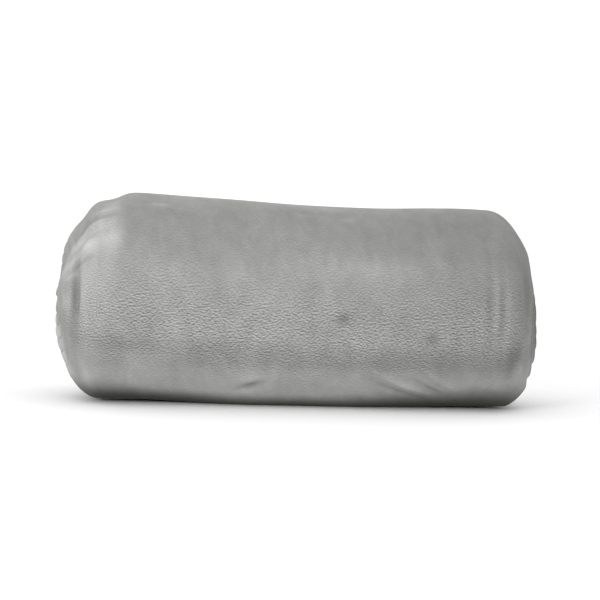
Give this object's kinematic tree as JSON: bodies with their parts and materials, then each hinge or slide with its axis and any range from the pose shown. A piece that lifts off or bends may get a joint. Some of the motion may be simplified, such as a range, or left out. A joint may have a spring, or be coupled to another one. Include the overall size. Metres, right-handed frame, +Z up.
{
  "type": "rolled throw blanket",
  "caption": "Soft fleece throw folded into a long strip and rolled into a cylinder, with a loose outer end that lifts and a blank care label.",
  "frame": {"origin": "on the surface the roll rests on, under the middle of its bounding box", "axes": "+X along the roll, +Y towards the side where the loose end lies, +Z up"},
  "size_m": [0.336, 0.1604, 0.1451],
  "materials": {
    "fleece": "brushed double-sided pile with a soft directional sheen",
    "thread": "twisted polyester sewing thread",
    "label": "woven satin"
  },
  "bodies": {
    "roll": {"roll_inner_left_fold": "fleece", "roll_inner_ply": "fleece", "roll_inner_side_hem": "fleece", "roll_inner_side_seam": "thread", "roll_outer_left_fold": "fleece", "roll_outer_ply": "fleece", "roll_right_fold": "fleece", "roll_second_ply": "fleece", "roll_third_ply": "fleece", "roll_third_side_hem": "fleece", "roll_third_side_seam": "thread", "start_hem": "fleece", "start_seam": "thread"},
    "flap": {"flap_inner_left_fold": "fleece", "flap_inner_ply": "fleece", "flap_inner_side_hem": "fleece", "flap_inner_side_seam": "thread", "flap_outer_left_fold": "fleece", "flap_outer_ply": "fleece", "flap_right_fold": "fleece", "flap_second_ply": "fleece", "flap_third_ply": "fleece", "flap_third_side_hem": "fleece", "flap_third_side_seam": "thread"},
    "tip": {"finish_hem": "fleece", "finish_seam": "thread", "tip_inner_left_fold": "fleece", "tip_inner_ply": "fleece", "tip_inner_side_hem": "fleece", "tip_inner_side_seam": "thread", "tip_outer_left_fold": "fleece", "tip_outer_ply": "fleece", "tip_right_fold": "fleece", "tip_second_ply": "fleece", "tip_third_ply": "fleece", "tip_third_side_hem": "fleece", "tip_third_side_seam": "thread"},
    "care_label": {"care_label": "label"}
  },
  "joints": [
    {"name": "flap_lift", "type": "hinge", "parent": "roll", "child": "flap", "pos_m": [0, 0.02898, 0.14041], "axis": [1, 0, 0], "range_deg": [0, 50]},
    {"name": "tip_lift", "type": "hinge", "parent": "flap", "child": "tip", "pos_m": [0, 0.07109, 0.1038], "axis": [1, 0, 0], "range_deg": [0, 50]},
    {"name": "label_swing", "type": "hinge", "parent": "tip", "child": "care_label", "pos_m": [0.107, 0.06756, 0.04556], "axis": [1, 0, 0], "range_deg": [-12, 55]}
  ]
}
